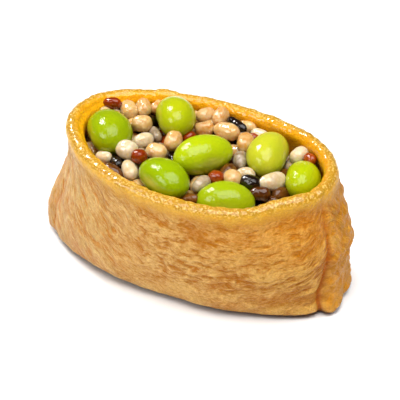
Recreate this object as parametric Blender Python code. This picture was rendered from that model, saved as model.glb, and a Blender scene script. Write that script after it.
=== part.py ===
"""Inari sushi: a seasoned fried tofu pouch, open at the top, filled with mixed-grain rice
and topped with seven shelled green soybeans.

Units are metres, +Z is up. The pouch stands on its flat base with its long side along X, and the
origin is the middle of the bounding box at the table. The front is -Y.

The pouch wall is one skin of even thickness. Every level of it is a rounded oval whose half length
and half width come from a short list of stations, so the same oval gives the outside, the inside
and the side of the rice that fills it.
"""

import math
from functools import partial

import bmesh
import bpy
from mathutils import Euler, Matrix, Vector, noise

MM = 0.001

# The pouch
RIM_HEIGHT = 30.6 * MM          # from the table to the top of the lip, on average
RIM_RISE_AT_ENDS = 1.0 * MM     # the lip stands higher at the two ends than half way along
RIM_DROP_AT_FRONT = 1.3 * MM    # and higher at the back than at the front
WALL = 2.8 * MM                 # thickness of the fried tofu
LIP = 3.3 * MM                  # thickness of the rolled lip
FLOOR = 3.0 * MM                # thickness under the rice
LIP_SHARE = 1.0 - 0.5 * LIP / RIM_HEIGHT    # height of the lip's middle as a share of the rim's

# Stations up the wall's middle surface, as (share of the rim height, reach to the right end,
# reach to the left end, half width). The low belly is wider than the rim, and there is a slight
# neck under the lip.
STATIONS = (
    (0.00, 31.0 * MM, 33.0 * MM, 12.6 * MM),
    (0.04, 32.4 * MM, 36.0 * MM, 15.2 * MM),
    (0.12, 32.2 * MM, 36.8 * MM, 16.6 * MM),
    (0.28, 32.2 * MM, 36.0 * MM, 17.6 * MM),
    (0.50, 32.8 * MM, 33.2 * MM, 18.2 * MM),
    (0.70, 31.2 * MM, 30.8 * MM, 18.2 * MM),
    (0.86, 29.4 * MM, 30.2 * MM, 17.8 * MM),
    (1.00, 28.8 * MM, 30.4 * MM, 17.6 * MM),
)
MIDDLE_X = 1.9 * MM             # the ovals are measured from this far right of the origin
ELONGATION = 4.0                # (length / width) squared, which turns an oval's outward direction
ROUNDNESS_RIGHT = (2.25, 2.1)   # exponent of the oval at the table and at the rim: 2 is an ellipse
ROUNDNESS_LEFT = (2.0, 2.1)
SKEW = (1.0 * MM, 3.5 * MM)     # how far right of the middle the front belly lies, table and rim

# The folded side seam at each end: a puffy column between two creases
SEAM_HALF_ANGLE = (math.radians(25), math.radians(19))     # at the table and at the rim
CREASE_DEPTH = 1.1 * MM
CREASE_HALF_WIDTH = math.radians(4.5)
SEAM_SWELL = 0.5 * MM
CORNER_SWELL = 1.5 * MM         # where the seam's front and back corners meet the table
CORNER_TOP = 0.45               # share of the rim height at which that swelling has died away
LEFT_SEAM_SHARE = 0.5           # the left seam is softer than the right one
DENT_DEPTH = 0.6 * MM           # soft unevenness of the whole wall
DENT_SPACING = 13.0 * MM
RIM_EVENNESS = 0.7              # share of all this unevenness that the lip irons out
EVEN_FROM = 0.8                 # share of the rim height from which it does

# The rice
GAP = 0.3 * MM                  # clearance between touching pieces
RICE_OFFSET = -WALL / 2 - GAP   # the rice's side, measured from the middle of the wall
RICE_LEVEL = 28.2 * MM          # height of the heap's middle
RICE_FALL_RIGHT = 0.025         # the heap falls towards the right end
RICE_RISE_BACK = 0.05           # and rises towards the back wall
GRAIN_RELIEF = 1.2 * MM         # unevenness of its surface, at the size of a grain
GRAIN_SPACING = 4.5 * MM

# The beans in millimetres and degrees: middle, length, width, thickness, heading of the long axis
# about Z, pitch and roll
BEANS = (
    ((-19.7, -1.0, 28.8), 13.2, 9.4, 8.8, -48, 4, 0),
    ((-8.6, 8.9, 29.9), 13.4, 8.8, 8.6, -55, 9, 0),
    ((2.8, -0.7, 28.5), 13.6, 9.4, 8.4, 48, -1, -6),
    ((-1.7, -11.2, 27.9), 13.2, 8.8, 8.0, -26, 3, -12),
    ((15.5, 5.8, 28.2), 13.4, 9.0, 8.6, 97, -2, 0),
    ((12.1, -10.4, 25.4), 12.4, 9.0, 8.4, 17, 0, -10),
    ((24.3, 1.6, 26.8), 12.0, 7.8, 7.6, -74, 13, 0),
)
SEAT_GAP = 0.4 * MM             # clearance between a bean and its seat in the rice
BEAN_BEND = 0.10                # how far the bean curves to one side, as a share of its width
BEAN_NOTCH = 0.07               # depth of the scar's dimple on the inner side of that curve
NOTCH_LENGTH = 0.28             # its half length and half width, as shares of the bean's own
NOTCH_WIDTH = 0.45

SIDES = 64                      # points round the pouch and round the rice
OUTSIDE_SHARES = (0.0, 0.02, 0.05, 0.09, 0.15, 0.22, 0.30, 0.38, 0.47, 0.56, 0.65, 0.73, 0.80, 0.87)
INSIDE_SHARES = (0.87, 0.80, 0.70, 0.58, 0.45, 0.32, 0.20)
LIP_STEPS = 6                   # facets over the rolled lip
HEAP_RINGS = (1.0, 0.90, 0.79, 0.67, 0.55, 0.43, 0.31, 0.19, 0.08)
FOOT_INSET = 1.0 * MM           # how far the floor inside is smaller than the wall above it


def mix(low, high, share):
    return low + (high - low) * share


def smooth_step(value):
    value = min(1.0, max(0.0, value))
    return value * value * (3.0 - 2.0 * value)


def between_stations(share, column):
    """The value of a station column at this share of the rim height, on a smooth curve."""
    shares = [station[0] for station in STATIONS]
    values = [station[column] for station in STATIONS]
    last = len(shares) - 1
    index = max(i for i in range(last) if shares[i] <= max(share, 0.0))
    span = shares[index + 1] - shares[index]
    t = (share - shares[index]) / span

    def slope(i):
        before = max(i - 1, 0)
        after = min(i + 1, last)
        return (values[after] - values[before]) / (shares[after] - shares[before]) * span

    return (
        (2 * t**3 - 3 * t**2 + 1) * values[index]
        + (t**3 - 2 * t**2 + t) * slope(index)
        + (3 * t**2 - 2 * t**3) * values[index + 1]
        + (t**3 - t**2) * slope(index + 1)
    )


def rim_height(angle):
    """Height of the top of the lip at this angle round the pouch."""
    return (
        RIM_HEIGHT
        + RIM_RISE_AT_ENDS * math.cos(2 * angle)
        + RIM_DROP_AT_FRONT * math.sin(angle)
    )


def bell(distance, half_width):
    """A smooth bump: 1 at distance 0, falling off over the half width."""
    return math.exp(-((distance / half_width) ** 2))


def seam_relief(angle, share):
    """How far the wall stands out here, from the puffy seam, its two creases and its corners."""
    off_end = abs(math.remainder(angle, math.pi))
    half = mix(*SEAM_HALF_ANGLE, smooth_step(share))
    swell = SEAM_SWELL * bell(off_end, 0.6 * half)
    crease = CREASE_DEPTH * bell(off_end - half, CREASE_HALF_WIDTH)
    low_down = 1.0 - smooth_step(share / CORNER_TOP)
    corner = CORNER_SWELL * low_down * bell(off_end - 0.65 * half, 0.5 * half)
    strength = 1.0 if math.cos(angle) > 0 else LEFT_SEAM_SHARE
    return strength * (swell + corner - crease)


def dents(place):
    """Soft unevenness of the wall at a place in space."""
    return DENT_DEPTH * noise.noise(place / DENT_SPACING)


def oval(angle, share, offset):
    """A point on the oval at this share of the rim height, offset outwards from the wall's middle."""
    right = math.cos(angle) > 0
    column = 1 if right else 2
    power = 2.0 / mix(*(ROUNDNESS_RIGHT if right else ROUNDNESS_LEFT), smooth_step(share))
    skew = mix(*SKEW, smooth_step(share))
    reach = between_stations(share, column) + offset
    half_width = between_stations(share, 3) + offset
    c = math.cos(angle)
    s = math.sin(angle)
    return Vector((
        MIDDLE_X + math.copysign(reach * abs(c) ** power, c) - skew * s,
        math.copysign(half_width * abs(s) ** power, s),
        0.0,
    ))


def wall_point(angle, share, offset, rise=0.0):
    """A point of the pouch wall or of something that lines it."""
    flat = oval(angle, share, offset)
    height = share * rim_height(angle)
    outward = Vector(((flat.x - MIDDLE_X) / ELONGATION, flat.y, 0.0)).normalized()
    ironed = RIM_EVENNESS * smooth_step((share - EVEN_FROM) / (1.0 - EVEN_FROM))
    bump = (1.0 - ironed) * (seam_relief(angle, share) + dents(Vector((flat.x, flat.y, height))))
    return flat + outward * bump + Vector((0.0, 0.0, height + rise))


def loft(name, levels, material):
    """A closed solid through a list of ring functions: a circle of points is placed on the first
    ring and extruded from ring to ring. A fan round a middle point closes both ends."""
    bm = bmesh.new()
    number = bm.verts.layers.int.new("number")
    bmesh.ops.create_circle(bm, segments=SIDES, radius=1.0)
    for index, vert in enumerate(bm.verts):
        vert[number] = index
    first = loop = list(bm.edges)
    for level, place in enumerate(levels):
        if level > 0:
            made = bmesh.ops.extrude_edge_only(bm, edges=loop)["geom"]
            loop = [item for item in made if isinstance(item, bmesh.types.BMEdge) and item.is_boundary]
        for vert in {vert for edge in loop for vert in edge.verts}:
            vert.co = place(2 * math.pi * vert[number] / SIDES)
    for end in (first, loop):
        cap = bmesh.ops.contextual_create(bm, geom=end)["faces"]
        bmesh.ops.poke(bm, faces=cap)
    bmesh.ops.triangulate(bm, faces=bm.faces)
    bmesh.ops.recalc_face_normals(bm, faces=bm.faces)
    mesh = bpy.data.meshes.new(name)
    bm.to_mesh(mesh)
    bm.free()
    return add_object(name, mesh, material)


def add_object(name, mesh, material):
    """A smooth-shaded object in the scene."""
    mesh.shade_smooth()
    made = bpy.data.objects.new(name, mesh)
    made.data.materials.append(material)
    bpy.context.scene.collection.objects.link(made)
    return made


def plain_material(name, colour, roughness):
    material = bpy.data.materials.new(name)
    material.use_nodes = True
    shader = material.node_tree.nodes["Principled BSDF"]
    shader.inputs["Base Color"].default_value = (*colour, 1.0)
    shader.inputs["Roughness"].default_value = roughness
    shader.inputs["Metallic"].default_value = 0.0
    return material


def make_pouch(material):
    """The tofu skin: outside, rolled lip and inside in one wall, closed under the rice."""
    levels = [partial(wall_point, share=share, offset=WALL / 2) for share in OUTSIDE_SHARES]
    for step in range(LIP_STEPS + 1):
        turn = math.pi * step / LIP_STEPS
        offset = LIP / 2 * math.cos(turn)
        rise = LIP / 2 * math.sin(turn)
        levels.append(partial(wall_point, share=LIP_SHARE, offset=offset, rise=rise))
    levels += [partial(wall_point, share=share, offset=-WALL / 2) for share in INSIDE_SHARES]
    levels.append(partial(floor_point, offset=-WALL / 2, height=FLOOR))
    return loft("tofu_pouch", levels, material)


def floor_point(angle, offset, height):
    """A point on the edge of the floor inside, or of what stands on it."""
    foot = wall_point(angle, INSIDE_SHARES[-1], offset - FOOT_INSET)
    return Vector((foot.x, foot.y, height))


def heap_height(x, y):
    """Top of the rice at this place, before the beans press into it."""
    bumps = GRAIN_RELIEF * noise.noise(Vector((x, y, 0.0)) / GRAIN_SPACING)
    return RICE_LEVEL - RICE_FALL_RIGHT * x + RICE_RISE_BACK * y + bumps


def heap_point(angle, inward):
    """A point on the heap: inward is 1 beside the lip and 0 in the middle."""
    side = wall_point(angle, LIP_SHARE, -LIP / 2 - GAP)
    x = side.x * inward
    y = side.y * inward
    return Vector((x, y, heap_height(x, y)))


def make_rice(material):
    """The rice: it fills the pouch to the wall, up to an uneven heap."""
    levels = [partial(floor_point, offset=RICE_OFFSET, height=FLOOR + GAP)]
    levels += [partial(wall_point, share=share, offset=RICE_OFFSET) for share in INSIDE_SHARES[:0:-1]]
    levels += [partial(heap_point, inward=inward) for inward in HEAP_RINGS]
    return loft("rice_filling", levels, material)


def bean_mesh(name, length, width, thickness, grow=0.0):
    """A shelled soybean lying along X: a full oval, bent a little to one side, with a dimple for
    the scar on the inner side of the bend."""
    bm = bmesh.new()
    bmesh.ops.create_uvsphere(bm, u_segments=16, v_segments=10, radius=1.0)
    bmesh.ops.rotate(bm, verts=bm.verts, matrix=Matrix.Rotation(math.pi / 2, 3, "Y"))
    for vert in bm.verts:
        x, y, z = vert.co
        belly = 1.0 - x * x
        notch = BEAN_NOTCH * bell(x, NOTCH_LENGTH) * bell(z, NOTCH_WIDTH) * max(0.0, -y)
        vert.co = Vector((
            x * (length / 2 + grow),
            (y + notch + BEAN_BEND * belly) * (width / 2 + grow),
            z * (thickness / 2 + grow),
        ))
    mesh = bpy.data.meshes.new(name)
    bm.to_mesh(mesh)
    bm.free()
    return mesh


def bean_place(place, heading, pitch, roll):
    """Where a bean lies, from its middle in millimetres and its turns in degrees."""
    turn = Euler((math.radians(roll), -math.radians(pitch), math.radians(heading)), "XYZ")
    return Matrix.Translation(Vector(place) * MM) @ turn.to_matrix().to_4x4()


def make_beans(material, rice):
    """The beans, each pressed into the rice: a slightly larger copy cuts its seat."""
    for number, (place, length, width, thickness, *turn) in enumerate(BEANS, 1):
        size = [side * MM for side in (length, width, thickness)]
        matrix = bean_place(place, *turn)
        bean = add_object(f"green_soybean_{number}", bean_mesh(f"bean_{number}", *size), material)
        bean.matrix_world = matrix
        seat = add_object(f"seat_{number}", bean_mesh(f"seat_{number}", *size, SEAT_GAP), material)
        seat.matrix_world = matrix
        seat.hide_render = True
        seat.display_type = "WIRE"
        cut = rice.modifiers.new(f"seat_{number}", "BOOLEAN")
        cut.operation = "DIFFERENCE"
        cut.object = seat


def clear_scene():
    for old in list(bpy.data.objects):
        bpy.data.objects.remove(old)


def main():
    clear_scene()
    tofu = plain_material("fried_tofu", (0.62, 0.33, 0.10), 0.45)
    grains = plain_material("mixed_grain_rice", (0.55, 0.38, 0.22), 0.40)
    green = plain_material("green_bean", (0.33, 0.52, 0.03), 0.25)
    make_pouch(tofu)
    rice = make_rice(grains)
    make_beans(green, rice)


main()
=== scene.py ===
# %% [markdown]
# # Inari sushi, as food
# A seasoned fried tofu pouch stands open on a table, filled with mixed-grain rice and topped with
# seven green soybeans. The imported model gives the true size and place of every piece. This lesson
# gives each piece the shape and finish of the real food: a wrinkled, glossy skin, loose grains of
# several kinds, and plump wet beans.

# %% Load the fixed frame
import math

import bpy
import numpy as np
from mathutils import Euler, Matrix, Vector, noise


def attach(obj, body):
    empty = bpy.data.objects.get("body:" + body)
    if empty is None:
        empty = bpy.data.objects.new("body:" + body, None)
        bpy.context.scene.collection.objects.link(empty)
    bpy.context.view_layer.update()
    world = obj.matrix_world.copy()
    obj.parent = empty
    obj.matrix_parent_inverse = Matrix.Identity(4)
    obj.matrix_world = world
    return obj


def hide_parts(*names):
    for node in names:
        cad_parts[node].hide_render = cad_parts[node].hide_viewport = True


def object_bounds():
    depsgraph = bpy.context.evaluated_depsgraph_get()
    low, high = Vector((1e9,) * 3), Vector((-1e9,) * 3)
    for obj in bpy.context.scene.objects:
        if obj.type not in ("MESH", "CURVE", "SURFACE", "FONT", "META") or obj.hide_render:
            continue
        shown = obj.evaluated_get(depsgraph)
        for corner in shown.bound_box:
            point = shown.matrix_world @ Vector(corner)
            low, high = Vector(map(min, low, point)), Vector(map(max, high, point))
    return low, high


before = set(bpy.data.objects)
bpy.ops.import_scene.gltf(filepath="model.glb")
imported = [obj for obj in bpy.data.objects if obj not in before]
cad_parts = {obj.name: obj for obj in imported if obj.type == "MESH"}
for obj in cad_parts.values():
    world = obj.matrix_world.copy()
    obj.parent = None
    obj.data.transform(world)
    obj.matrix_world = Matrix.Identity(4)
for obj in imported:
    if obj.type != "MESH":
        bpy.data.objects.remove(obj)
cad_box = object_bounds()
MM = 0.001
size = (cad_box[1] - cad_box[0]) / MM
print("the packed model is %.1f x %.1f x %.1f mm" % tuple(size))

# %% [markdown]
# Every operator works on what is selected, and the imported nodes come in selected, so each step
# starts with nothing selected. Meshes with many thousand points are shaped fastest as one array of
# numbers, so two small helpers read and write the points of a mesh. Lengths are in millimetres
# there, which is how a cook or a maker thinks about a piece this small.


# %% Helpers to select, read and write
def start_clean():
    """Object mode, with nothing selected."""
    if bpy.context.object is not None and bpy.context.object.mode != "OBJECT":
        bpy.ops.object.mode_set(mode="OBJECT")
    bpy.ops.object.select_all(action="DESELECT")


def read_points(piece):
    """The points of a piece in millimetres, one row each."""
    flat = np.empty(len(piece.data.vertices) * 3)
    piece.data.vertices.foreach_get("co", flat)
    return flat.reshape(-1, 3) / MM


def write_points(piece, points):
    """Puts the points of a piece at these places in millimetres."""
    piece.data.vertices.foreach_set("co", (points * MM).ravel())
    piece.data.update()


def write_mask(piece, name, values):
    """A number for each point, which a material reads as an attribute."""
    layer = piece.data.attributes.new(name, "FLOAT", "POINT")
    layer.data.foreach_set("value", values.ravel().astype(np.float32))


def noise_at(points, spacing):
    """Smooth noise between -1 and 1 at each point, with bumps of about this spacing."""
    points = np.asarray(points, float)
    flat = (points.reshape(-1, 3) / spacing).tolist()
    return np.array([noise.noise(place) for place in flat]).reshape(points.shape[:-1])


def smooth_step(value, low=0.0, high=1.0):
    """0 below low, 1 above high and a smooth rise between."""
    share = np.clip((value - low) / (high - low), 0.0, 1.0)
    return share * share * (3.0 - 2.0 * share)


def bell(distance, half_width):
    """A smooth bump: 1 at distance 0, falling off over the half width."""
    return np.exp(-((distance / half_width) ** 2))


def merge_and_turn_out(piece):
    """Closes seams and poles, turns the faces outwards and shades the piece smooth."""
    start_clean()
    bpy.context.view_layer.objects.active = piece
    piece.select_set(True)
    bpy.ops.object.mode_set(mode="EDIT")
    bpy.ops.mesh.select_all(action="SELECT")
    bpy.ops.mesh.remove_doubles(threshold=0.001 * MM)
    bpy.ops.mesh.normals_make_consistent(inside=False)
    bpy.ops.object.mode_set(mode="OBJECT")
    bpy.ops.object.shade_smooth()


# %% [markdown]
# ## The form of the pouch
# The pouch is a pocket of thin fried tofu. Seen from above each level is a long rounded oval, and
# the ovals change from the table to the rim: a low belly, a slight neck, a rolled lip. The packed
# solid was made from a short list of such ovals, so the same list gives the fine skin here, and the
# two agree to a fraction of a millimetre.

# %% Ovals from the table to the rim
RIM_HEIGHT = 30.6
RIM_RISE_AT_ENDS = 1.0
RIM_DROP_AT_FRONT = 1.3
WALL = 2.8
LIP = 3.3
FLOOR = 3.0
LIP_SHARE = 1.0 - 0.5 * LIP / RIM_HEIGHT

# share of the rim height, reach to the right end, reach to the left end, half width
STATIONS = np.array((
    (0.00, 31.0, 33.0, 12.6),
    (0.04, 32.4, 36.0, 15.2),
    (0.12, 32.2, 36.8, 16.6),
    (0.28, 32.2, 36.0, 17.6),
    (0.50, 32.8, 33.2, 18.2),
    (0.70, 31.2, 30.8, 18.2),
    (0.86, 29.4, 30.2, 17.8),
    (1.00, 28.8, 30.4, 17.6),
))
MIDDLE_X = 1.9
ELONGATION = 4.0
ROUNDNESS_RIGHT = (2.25, 2.1)
ROUNDNESS_LEFT = (2.0, 2.1)
SKEW = (1.0, 3.5)


def mix(low, high, share):
    return low + (high - low) * share


def station_at(share, column):
    """The value of a station column at each share, on a smooth curve through the stations."""
    shares = STATIONS[:, 0]
    values = STATIONS[:, column]
    number = np.arange(len(shares))
    before = np.maximum(number - 1, 0)
    after = np.minimum(number + 1, len(shares) - 1)
    rate = (values[after] - values[before]) / (shares[after] - shares[before])
    index = np.clip(np.searchsorted(shares, share, side="right") - 1, 0, len(shares) - 2)
    span = shares[index + 1] - shares[index]
    t = (share - shares[index]) / span
    return (
        (2 * t**3 - 3 * t**2 + 1) * values[index]
        + (t**3 - 2 * t**2 + t) * rate[index] * span
        + (3 * t**2 - 2 * t**3) * values[index + 1]
        + (t**3 - t**2) * rate[index + 1] * span
    )


def rim_height(angle):
    return RIM_HEIGHT + RIM_RISE_AT_ENDS * np.cos(2 * angle) + RIM_DROP_AT_FRONT * np.sin(angle)


def oval(angle, share, offset):
    """Places on the ovals, offset outwards from the middle of the wall, as x and y."""
    c = np.cos(angle)
    s = np.sin(angle)
    ease = smooth_step(share)
    right = c > 0
    power = 2.0 / np.where(right, mix(*ROUNDNESS_RIGHT, ease), mix(*ROUNDNESS_LEFT, ease))
    reach = np.where(right, station_at(share, 1), station_at(share, 2)) + offset
    half_width = station_at(share, 3) + offset
    x = MIDDLE_X + np.sign(c) * reach * np.abs(c) ** power - mix(*SKEW, ease) * s
    y = np.sign(s) * half_width * np.abs(s) ** power
    return x, y


# %% [markdown]
# The two ends of the pouch are folded seams: a puffy column between two creases, with a swelling
# where its corners meet the table. The whole wall also has soft dents. Both belong to the packed
# solid, so they come first and unchanged. The lip irons most of them out.

# %% Seams and dents
SEAM_HALF_ANGLE = (math.radians(25), math.radians(19))
CREASE_DEPTH = 1.1
CREASE_FADE = (0.75, 0.35)
CREASE_HALF_WIDTH = math.radians(4.5)
SEAM_SWELL = 0.5
CORNER_SWELL = 1.5
CORNER_TOP = 0.45
LEFT_SEAM_SHARE = 0.5
DENT_DEPTH = 0.6
DENT_SPACING = 13.0
RIM_EVENNESS = 0.7
EVEN_FROM = 0.8


def off_the_end(angle):
    """The angle between a place on the wall and the nearer end of the pouch."""
    return np.abs(angle - np.pi * np.round(angle / np.pi))


def seam_relief(angle, share):
    """How far the seams stand out of the wall or into it."""
    off_end = off_the_end(angle)
    half = mix(*SEAM_HALF_ANGLE, smooth_step(share))
    swell = SEAM_SWELL * bell(off_end, 0.6 * half)
    depth = CREASE_DEPTH * mix(*CREASE_FADE, smooth_step(share))
    crease = depth * bell(off_end - half, CREASE_HALF_WIDTH)
    low_down = 1.0 - smooth_step(share / CORNER_TOP)
    corner = CORNER_SWELL * low_down * bell(off_end - 0.65 * half, 0.5 * half)
    strength = np.where(np.cos(angle) > 0, 1.0, LEFT_SEAM_SHARE)
    return strength * (swell + corner - crease)


def wall_points(angle, share, offset, rise=0.0):
    """Points of the wall, or of something that lines it, in millimetres."""
    angle, share, offset, rise = np.broadcast_arrays(angle, share, offset, rise)
    x, y = oval(angle, share, offset)
    height = share * rim_height(angle)
    length = np.hypot((x - MIDDLE_X) / ELONGATION, y) + 1e-9
    ironed = RIM_EVENNESS * smooth_step(share, EVEN_FROM, 1.0)
    dents = DENT_DEPTH * noise_at(np.stack([x, y, height], -1), DENT_SPACING)
    bump = (1.0 - ironed) * (seam_relief(angle, share) + dents)
    x = x + (x - MIDDLE_X) / ELONGATION / length * bump
    y = y + y / length * bump
    return np.stack([x, y, height + rise], -1)


# %% [markdown]
# ## Rolling up the skin
# One way to a pouch is to model the outside, give it a thickness and sculpt it. Here a fine flat
# grid is rolled up instead, because a grid has rows and columns that can be named: a column is a
# direction round the pouch, and a row is a level on the way up the outside, over the lip and down
# the inside. Points are spaced by the length of the wall, so wrinkles are equally fine all round.
# The first and last rows are drawn together in the middle of the two floors and then merged.

# %% Rows and columns of the skin
COLUMNS = 576
OUTSIDE_ROWS = 86
ROW_CROWDING = 1.06
LIP_ROWS = 14
LIP_SWELLS_FROM = 0.87
INSIDE_ROWS = 20
RICE_LEVEL = 0.70
DEEP_LEVELS = (0.66, 0.60, 0.52, 0.42, 0.32, 0.20)
FOOT_LEVEL = DEEP_LEVELS[-1]
FOOT_INSET = 1.0
LEFT_END = math.pi

dense = LEFT_END + np.linspace(0.0, 2 * math.pi, 4001)
dense_x, dense_y = oval(dense, 0.5, WALL / 2)
walked = np.concatenate([[0.0], np.cumsum(np.hypot(np.diff(dense_x), np.diff(dense_y)))])
ROUND_LENGTH = walked[-1]
column_walk = np.linspace(0.0, ROUND_LENGTH, COLUMNS, endpoint=False)
column_angle = np.interp(column_walk, walked, dense)
from_left_end = np.minimum(column_walk, ROUND_LENGTH - column_walk)
print("the wall is %.0f mm round, a point every %.2f mm" % (ROUND_LENGTH, ROUND_LENGTH / COLUMNS))


def half_thickness(level):
    """Half the thickness of the wall, which swells towards the lip."""
    return mix(WALL, LIP, smooth_step(level, LIP_SWELLS_FROM, LIP_SHARE)) / 2


# each row: part of the skin, share of the rim height, offset, rise, how far it is gathered in
rows = [("base", 0.0, WALL / 2, 0.0, pull) for pull in (0.0, 0.35, 0.7, 0.88, 0.96)]
for level in np.linspace(0.0, 1.0, OUTSIDE_ROWS) ** ROW_CROWDING * LIP_SHARE:
    rows.append(("outside", level, half_thickness(level), 0.0, 1.0))
for turn in np.linspace(0.0, math.pi, LIP_ROWS + 2)[1:-1]:
    rows.append(("lip", LIP_SHARE, LIP / 2 * math.cos(turn), LIP / 2 * math.sin(turn), 1.0))
for level in np.linspace(LIP_SHARE, RICE_LEVEL, INSIDE_ROWS):
    rows.append(("inside", level, -half_thickness(level), 0.0, 1.0))
for level in DEEP_LEVELS:
    rows.append(("inside", level, -WALL / 2, 0.0, 1.0))
for pull in (1.0, 0.8, 0.5, 0.25, 0.0):
    rows.append(("floor", FOOT_LEVEL, -WALL / 2 - FOOT_INSET, 0.0, pull))
print("the skin has %d rows of %d points" % (len(rows), COLUMNS))

# %% Place every point of the skin
part = np.array([row[0] for row in rows])[:, None]
share, offset, rise, gathered = (np.array([row[i] for row in rows])[:, None] for i in (1, 2, 3, 4))
is_outside = part == "outside"
is_lip = part == "lip"
is_inside = part == "inside"
is_floor = part == "floor"
skin = wall_points(column_angle[None, :], share, offset, rise)
skin[..., 2] = np.where(is_floor, FLOOR, skin[..., 2])
for axis, middle in ((0, MIDDLE_X), (1, 0.0)):
    skin[..., axis] = middle + (skin[..., axis] - middle) * gathered
print("the smooth skin is %.1f x %.1f x %.1f mm" % tuple(np.ptp(skin.reshape(-1, 3), axis=0)))

# %% [markdown]
# ## Small corrections of the rim
# Real rims are never even. Three places are shaped one by one: on the front right the lip stands a
# little higher and further in, at the back it is pinched up into a low peak, and over the right-hand
# crease it has a small dip.

# %% Rim, shaped in three places
HANDLED = (0.62 * RIM_HEIGHT, 0.97 * RIM_HEIGHT)
near_rim = smooth_step(skin[..., 2], *HANDLED)
turn_of = np.mod(column_angle, 2 * math.pi)[None, :]


def round_from(degrees):
    """Angle between each column and one direction, in degrees."""
    away = np.degrees(turn_of) - degrees
    return np.abs((away + 180.0) % 360.0 - 180.0)


def shape_rim(degrees, half_width, lift, inward):
    """Lifts the rim in one direction, or lowers it, and moves it in."""
    strength = near_rim * bell(round_from(degrees), half_width)
    skin[..., 2] += lift * strength
    skin[..., 0] -= inward * strength * math.cos(math.radians(degrees))
    skin[..., 1] -= inward * strength * math.sin(math.radians(degrees))


shape_rim(degrees=318, half_width=16, lift=0.9, inward=0.9)
shape_rim(degrees=114, half_width=5, lift=0.5, inward=0.0)
shape_rim(degrees=338, half_width=2, lift=-0.15, inward=0.0)
print("the rim is now up to %.1f mm high" % skin[..., 2].max())

# %% [markdown]
# ## Wrinkles
# Fried tofu shrinks into fine ridges that follow the pull of the skin. At the left end they fall
# steeply, along the front they lie flat, and before the right-hand crease they climb again. A
# plain noise can't follow such lines. So each place gets a second height, measured across the
# ridges: it is constant along a ridge, and its slope is the slope of the ridge there. Noise that is
# stretched along that direction gives ridges that bend with the skin.

# %% A height measured across the ridges
# millimetres from the left end, and the slope of the ridges there in degrees
RIDGE_SLOPES = ((0.0, 58), (12.0, 50), (28.0, 34), (44.0, 8), (60.0, -3), (72.0, -24), (79.0, -30),
                (82.0, 30), (84.0, 55), (90.0, 55))
HALF_ROUND = ROUND_LENGTH / 2
BACK_SHIFT = 37.0
END_BLEND = 6.0
SEED_STEP = 7.31
walk = np.linspace(0.0, HALF_ROUND, 600)
slope = np.tan(np.radians(np.interp(walk, *np.array(RIDGE_SLOPES).T)))
fallen = np.concatenate([[0.0], np.cumsum((slope[1:] + slope[:-1]) / 2 * np.diff(walk))])

along = np.broadcast_to(from_left_end[None, :], skin.shape[:2])
height = skin[..., 2]
is_front = (np.sin(column_angle) < 0)[None, :]
off_ends = smooth_step(np.minimum(along, HALF_ROUND - along), 0.0, END_BLEND)
along_ridges = along + np.where(is_front, 0.0, BACK_SHIFT) * off_ends
across_ridges = height + np.interp(along, walk, fallen)
across_ridges = across_ridges + 1.3 * noise_at(skin, 5.5) + 0.5 * noise_at(skin + 50.0, 2.1)


def stretched_places(across, length, seed):
    """Each point's place in a noise with this spacing across the ridges and length along them."""
    return np.stack([
        across_ridges / across, along_ridges / length, np.full_like(height, seed * SEED_STEP),
    ], -1)


def field(across, length, seed):
    return noise_at(stretched_places(across, length, seed), 1.0)


print("the ridges fall by up to %.0f mm along the wall" % np.ptp(fallen))

# %% [markdown]
# Several kinds of relief are made from it. Crinkles are thin ridges, long at the two ends and shorter
# between them. Pores are a net of thinner ridges round small hollows. Slits are short dark cracks
# that lie flat in the upper part of the wall. Near the front right corner the skin is pushed up into
# a few slanting folds. Clouds are soft swellings that make some places paler than others.


# %% Crinkles and pores
def spread(values, low, high):
    """Stretches values so that their low and high percentiles become 0 and 1."""
    bottom, top = np.percentile(values, (low, high))
    return np.clip((values - bottom) / (top - bottom), 0.0, 1.0)


def crinkles(across, length, seed):
    """Thin ridges along the lines where a stretched noise changes sign, in two sizes."""
    total = 0.0
    for scale, weight in ((1.0, 0.60), (0.55, 0.30)):
        values = field(across * scale, length * scale, seed + 10 * scale)
        total = total + weight * bell(values, 0.16)
    return total


def pores(across, length, seed):
    """0 in the middle of a hollow and 1 on the thin ridge between two."""
    places = stretched_places(across, length, seed).reshape(-1, 3).tolist()
    nearest_two = np.array([noise.voronoi(place)[0][:2] for place in places])
    gap = (nearest_two[:, 1] - nearest_two[:, 0]).reshape(height.shape)
    return 1.0 - smooth_step(gap, 0.0, 0.42)


# %% Mix the relief for each place
LEFT_PULL = (24.0, 46.0)
RIGHT_PULL = (79.0, 83.0)
SLIT_EDGE = (0.18, 0.42)
FOLD_FROM_LEFT = 74.0
FOLD_HEIGHT = 5.0
WRINKLE_RELIEF = 0.38
CRUMB_RELIEF = 0.09
long_share = np.maximum(1.0 - smooth_step(along, *LEFT_PULL), 0.8 * smooth_step(along, *RIGHT_PULL))
high_up = np.maximum(smooth_step(height, 3.0, 12.0), long_share)
long_crinkles = crinkles(across=2.6, length=9.0, seed=1)
short_crinkles = crinkles(across=1.7, length=4.6, seed=2)
net = pores(across=1.1, length=2.2, seed=3)
cloud = np.clip(0.5 + 1.1 * field(across=3.4, length=8.0, seed=11), 0.0, 1.0)
slits = high_up * smooth_step(field(across=0.75, length=3.2, seed=9), *SLIT_EDGE)
crumb = 0.5 + field(across=0.6, length=0.85, seed=5)
near_corner = is_front * bell(along - FOLD_FROM_LEFT, 6.0) * bell(height - FOLD_HEIGHT, 4.5)
folds = near_corner * 2.2 * field(across=2.1, length=9.0, seed=13)
on_right = high_up * (0.34 * short_crinkles + 0.16 * net) + 0.45 * cloud - 0.45 * slits + folds
on_left = 0.70 * long_crinkles + 0.08 * cloud
roughly = mix(on_right, on_left, long_share)
wrinkles = WRINKLE_RELIEF * roughly + CRUMB_RELIEF * crumb
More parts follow.
